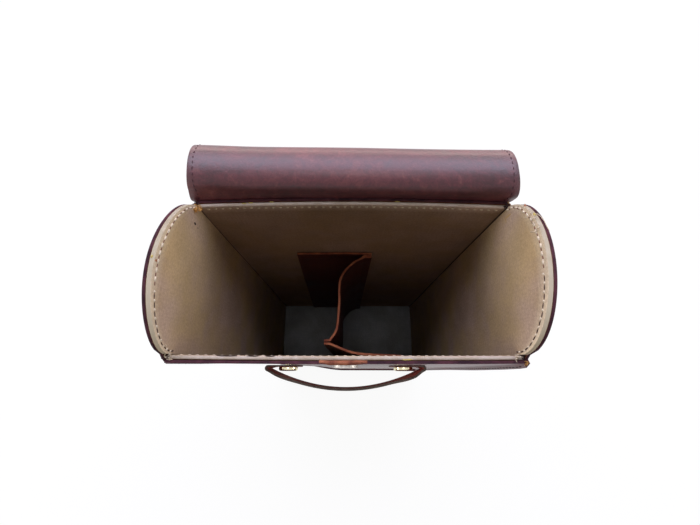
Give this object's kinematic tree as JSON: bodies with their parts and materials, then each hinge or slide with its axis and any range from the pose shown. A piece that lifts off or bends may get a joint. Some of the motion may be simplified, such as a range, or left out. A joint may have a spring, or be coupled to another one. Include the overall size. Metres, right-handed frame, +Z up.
{
  "type": "wine bottle bag",
  "caption": "Tall leather carrier for wine bottles with domed ends, canvas-lined boards, a Z-shaped divider, a strap handle and a bending lid thrown open behind.",
  "frame": {"origin": "centre of the underside", "axes": "+X right and +Y towards the lid's hinge side, seen from the front with the handle; +Z up out of the mouth"},
  "size_m": [0.2052, 0.1511, 0.371],
  "materials": {
    "outer_leather": "polished burgundy-brown leather, mottled and lightly scratched",
    "canvas_lining": "plain-weave beige canvas over board, stitched round the rim",
    "divider_leather": "matt reddish-brown leather with raw orange-brown edges",
    "brass": "polished brass",
    "nickel": "satin nickel"
  },
  "bodies": {
    "bag": {"front_panel": "outer_leather", "back_panel": "outer_leather", "left_side_panel": "outer_leather", "right_side_panel": "outer_leather", "base_panel": "outer_leather", "lid_back_band": "outer_leather", "handle_end_left": "outer_leather", "handle_end_right": "outer_leather", "front_lining": "canvas_lining", "back_lining": "canvas_lining", "left_side_lining": "canvas_lining", "right_side_lining": "canvas_lining", "base_lining": "canvas_lining", "divider_back_flange": "divider_leather", "divider_web": "divider_leather", "divider_front_flange": "divider_leather", "snap_patch": "divider_leather", "handle_stud_left": "brass", "handle_stud_right": "brass", "handle_burr_left": "brass", "handle_burr_right": "brass", "snap_socket": "nickel", "snap_washer": "nickel"},
    "lid_1": {"lid_strip_1": "outer_leather"},
    "lid_2": {"lid_strip_2": "outer_leather"},
    "lid_3": {"lid_strip_3": "outer_leather"},
    "lid_4": {"lid_strip_4": "outer_leather"},
    "lid_5": {"lid_strip_5": "outer_leather"},
    "lid_6": {"lid_strip_6": "outer_leather"},
    "lid_7": {"lid_strip_7": "outer_leather"},
    "lid_8": {"lid_strip_8": "outer_leather"},
    "lid_9": {"lid_strip_9": "outer_leather"},
    "lid_front": {"lid_flap": "outer_leather", "snap_stud": "nickel"},
    "handle": {"handle_strap": "outer_leather"}
  },
  "joints": [
    {"name": "lid_bend_1", "type": "hinge", "parent": "bag", "child": "lid_1", "pos_m": [0, 0.0502, 0.3415], "axis": [1, 0, 0], "range_deg": [0, 6.63]},
    {"name": "lid_bend_2", "type": "hinge", "parent": "lid_1", "child": "lid_2", "pos_m": [0, 0.04968, 0.34898], "axis": [1, 0, 0], "range_deg": [0, 69.57]},
    {"name": "lid_bend_3", "type": "hinge", "parent": "lid_2", "child": "lid_3", "pos_m": [0, 0.05543, 0.35454], "axis": [1, 0, 0], "range_deg": [0, 52.91]},
    {"name": "lid_bend_4", "type": "hinge", "parent": "lid_3", "child": "lid_4", "pos_m": [0, 0.06533, 0.35593], "axis": [1, 0, 0], "range_deg": [0, 39.87]},
    {"name": "lid_bend_5", "type": "hinge", "parent": "lid_4", "child": "lid_5", "pos_m": [0, 0.0758, 0.35253], "axis": [1, 0, 0], "range_deg": [0, 48.09]},
    {"name": "lid_bend_6", "type": "hinge", "parent": "lid_5", "child": "lid_6", "pos_m": [0, 0.08268, 0.3427], "axis": [1, 0, 0], "range_deg": [0, 47.55]},
    {"name": "lid_bend_7", "type": "hinge", "parent": "lid_6", "child": "lid_7", "pos_m": [0, 0.08268, 0.32155], "axis": [1, 0, 0], "range_deg": [0, 14.88]},
    {"name": "lid_bend_8", "type": "hinge", "parent": "lid_7", "child": "lid_8", "pos_m": [0, 0.08268, 0.3004], "axis": [1, 0, 0], "range_deg": [0, 18.58]},
    {"name": "lid_bend_9", "type": "hinge", "parent": "lid_8", "child": "lid_9", "pos_m": [0, 0.08268, 0.27925], "axis": [1, 0, 0], "range_deg": [0, 34.55]},
    {"name": "lid_bend_10", "type": "hinge", "parent": "lid_9", "child": "lid_front", "pos_m": [0, 0.08268, 0.25811], "axis": [1, 0, 0], "range_deg": [0, 27.46]},
    {"name": "handle_lift", "type": "hinge", "parent": "bag", "child": "handle", "pos_m": [0, -0.0509, 0.284], "axis": [-1, 0, 0], "range_deg": [0, 18]}
  ],
  "couplings": [
    {"joint": "lid_bend_1", "follows": "lid_bend_10", "ratio": 0.2411},
    {"joint": "lid_bend_2", "follows": "lid_bend_10", "ratio": 2.533},
    {"joint": "lid_bend_3", "follows": "lid_bend_10", "ratio": 1.9264},
    {"joint": "lid_bend_4", "follows": "lid_bend_10", "ratio": 1.4513},
    {"joint": "lid_bend_5", "follows": "lid_bend_10", "ratio": 1.7507},
    {"joint": "lid_bend_6", "follows": "lid_bend_10", "ratio": 1.7309},
    {"joint": "lid_bend_7", "follows": "lid_bend_10", "ratio": 0.54158},
    {"joint": "lid_bend_8", "follows": "lid_bend_10", "ratio": 0.67632},
    {"joint": "lid_bend_9", "follows": "lid_bend_10", "ratio": 1.2579}
  ]
}
